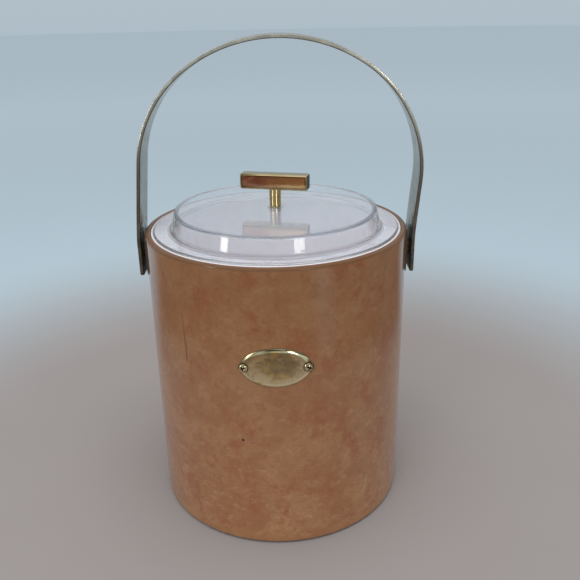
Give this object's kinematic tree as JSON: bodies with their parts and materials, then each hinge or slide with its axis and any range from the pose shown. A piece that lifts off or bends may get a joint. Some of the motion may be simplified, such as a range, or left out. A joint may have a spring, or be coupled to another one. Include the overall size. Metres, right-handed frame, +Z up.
{
  "type": "ice bucket",
  "caption": "Insulated cylindrical ice bucket with a vinyl-wrapped wall, white liner, loose clear lid with a T-bar knob, and a flat swinging bail handle.",
  "frame": {"origin": "centre of the foot, on the surface that the bucket stands on", "axes": "+Z up along the body's axis, -Y out of the plaque on the front wall, X along the line of the handle's pivots"},
  "size_m": [0.1994, 0.1852, 0.3334],
  "materials": {
    "board": "matte",
    "vinyl": "gloss",
    "felt": "matte",
    "foam": "matte",
    "liner_plastic": "satin",
    "handle_metal": "polished",
    "polished_brass": "polished",
    "plaque_brass": "satin",
    "clear_acrylic": "gloss",
    "steel": "satin"
  },
  "bodies": {
    "bucket": {"shell_tube": "board", "vinyl_wrap": "vinyl", "base_disc": "board", "base_pad": "felt", "insulation_sleeve": "foam", "insulation_disc": "foam", "liner": "liner_plastic", "left_pivot_plate": "handle_metal", "right_pivot_plate": "handle_metal", "left_pivot_collar": "polished_brass", "right_pivot_collar": "polished_brass", "left_pivot_screw": "polished_brass", "right_pivot_screw": "polished_brass", "left_pivot_washer": "steel", "right_pivot_washer": "steel", "left_pivot_nut": "steel", "right_pivot_nut": "steel", "plaque": "plaque_brass", "plaque_screw_left": "plaque_brass", "plaque_screw_right": "plaque_brass"},
    "handle": {"handle_band": "handle_metal"},
    "lid": {"lid_cover": "clear_acrylic"},
    "knob": {"knob_bar": "polished_brass", "knob_stem": "polished_brass", "knob_screw": "steel", "knob_washer": "steel"}
  },
  "joints": [
    {"name": "handle_swing", "type": "hinge", "parent": "bucket", "child": "handle", "pos_m": [0, 0, 0.1885], "axis": [1, 0, 0], "range_deg": [-133, 133]},
    {"name": "lid_lift", "type": "slide", "parent": "bucket", "child": "lid", "axis": [0, 0, 1], "range_m": [0, 0.05]},
    {"name": "lid_turn", "type": "hinge", "parent": "lid", "child": "knob", "pos_m": [0, 0, 0.219], "axis": [0, 0, 1], "continuous": true}
  ]
}
